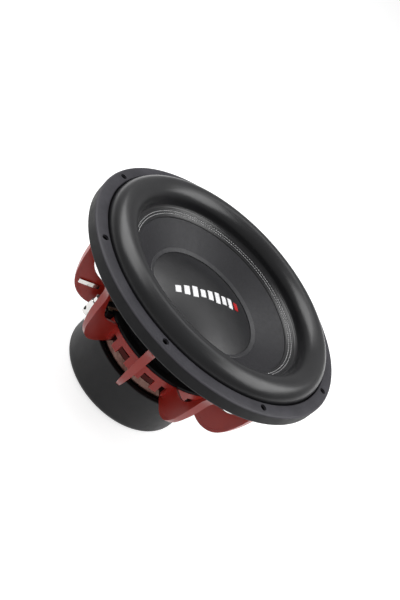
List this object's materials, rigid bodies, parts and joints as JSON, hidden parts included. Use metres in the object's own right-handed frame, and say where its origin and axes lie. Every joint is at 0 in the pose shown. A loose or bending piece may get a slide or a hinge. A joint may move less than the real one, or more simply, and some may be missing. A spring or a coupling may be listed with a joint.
{
  "type": "subwoofer driver",
  "caption": "Car subwoofer driver: rubber-edged ring, tall half-roll surround, dished cone with dome cap, cast basket with radial legs, and a booted magnet motor.",
  "frame": {"origin": "centre of the motor's underside, the face that the driver stands on", "axes": "+Z along the cone's axis, out of its front; azimuth 0 is along -Y, where one basket leg stands, and +X is 90 degrees round from it"},
  "size_m": [0.322, 0.322, 0.1902],
  "materials": {
    "ring_rubber": "satin moulded",
    "seal_foam": "matt foam",
    "basket_paint": "satin powder coat",
    "plate_steel": "turned, dull plated",
    "ferrite": "ground",
    "ring_aluminium": "turned",
    "screen_steel": "punched",
    "boot_rubber": "satin",
    "screw_steel": "black oxide",
    "cone_paper": "matt, fine grain",
    "former_glassfibre": "glass fibre and resin",
    "coil_wire": "enamelled copper",
    "former_paper": "varnished",
    "adhesive": "gloss",
    "cap_band": "satin",
    "cap_plastic": "satin",
    "emblem_white": "gloss print",
    "emblem_red": "gloss print",
    "thread": "twisted thread",
    "surround_rubber": "satin",
    "spider_cloth": "resin-dipped cloth",
    "black_plastic": "moulded",
    "lead_braid": "tinned braid",
    "tinned_brass": "tinned",
    "plated_metal": "nickel plated",
    "button_plate": "nickel plated, satin",
    "spring_steel": "drawn wire"
  },
  "bodies": {
    "driver_frame": {"gasket_ring": "ring_rubber", "cutout_seal": "ring_rubber", "rear_gasket": "seal_foam", "basket": "basket_paint", "top_plate": "plate_steel", "magnet_upper": "ferrite", "magnet_lower": "ferrite", "yoke": "plate_steel", "shorting_ring": "ring_aluminium", "vent_screen": "screen_steel", "motor_boot": "boot_rubber", "motor_screws": "screw_steel", "surround": "surround_rubber", "spider": "spider_cloth", "spider_clamp": "black_plastic", "woven_leads": "lead_braid", "terminal_block_front": "black_plastic", "solder_tabs_front": "tinned_brass", "block_screws_front": "screw_steel", "terminal_strap_front": "plated_metal", "terminal_block_rear": "black_plastic", "solder_tabs_rear": "tinned_brass", "block_screws_rear": "screw_steel", "terminal_strap_rear": "plated_metal", "terminal_barrel_front_left": "plated_metal", "button_spring_front_left": "spring_steel", "terminal_barrel_front_right": "plated_metal", "button_spring_front_right": "spring_steel", "terminal_barrel_rear_left": "plated_metal", "button_spring_rear_left": "spring_steel", "terminal_barrel_rear_right": "plated_metal", "button_spring_rear_right": "spring_steel"},
    "cone_assembly": {"cone": "cone_paper", "coil_former": "former_glassfibre", "coil_winding_inner": "coil_wire", "coil_winding_outer": "coil_wire", "former_collar": "former_paper", "neck_joint": "adhesive", "cap_ring": "cap_band", "dust_cap": "cap_plastic", "emblem_bars": "emblem_white", "emblem_accent": "emblem_red", "stitching": "thread"},
    "button_front_left": {"terminal_button_front_left": "button_plate"},
    "button_front_right": {"terminal_button_front_right": "button_plate"},
    "button_rear_left": {"terminal_button_rear_left": "button_plate"},
    "button_rear_right": {"terminal_button_rear_right": "button_plate"}
  },
  "joints": [
    {"name": "cone_travel", "type": "slide", "parent": "driver_frame", "child": "cone_assembly", "axis": [0, 0, 1], "range_m": [-0.015, 0.015], "stiffness_N_per_m": 9000, "deforming": ["surround", "spider", "woven_leads"]},
    {"name": "button_front_left_press", "type": "slide", "parent": "driver_frame", "child": "button_front_left", "axis": [0, 0, 1], "range_m": [-0.004, 0], "stiffness_N_per_m": 800, "deforming": ["button_spring_front_left"]},
    {"name": "button_front_right_press", "type": "slide", "parent": "driver_frame", "child": "button_front_right", "axis": [0, 0, 1], "range_m": [-0.004, 0], "stiffness_N_per_m": 800, "deforming": ["button_spring_front_right"]},
    {"name": "button_rear_left_press", "type": "slide", "parent": "driver_frame", "child": "button_rear_left", "axis": [0, 0, 1], "range_m": [-0.004, 0], "stiffness_N_per_m": 800, "deforming": ["button_spring_rear_left"]},
    {"name": "button_rear_right_press", "type": "slide", "parent": "driver_frame", "child": "button_rear_right", "axis": [0, 0, 1], "range_m": [-0.004, 0], "stiffness_N_per_m": 800, "deforming": ["button_spring_rear_right"]}
  ]
}
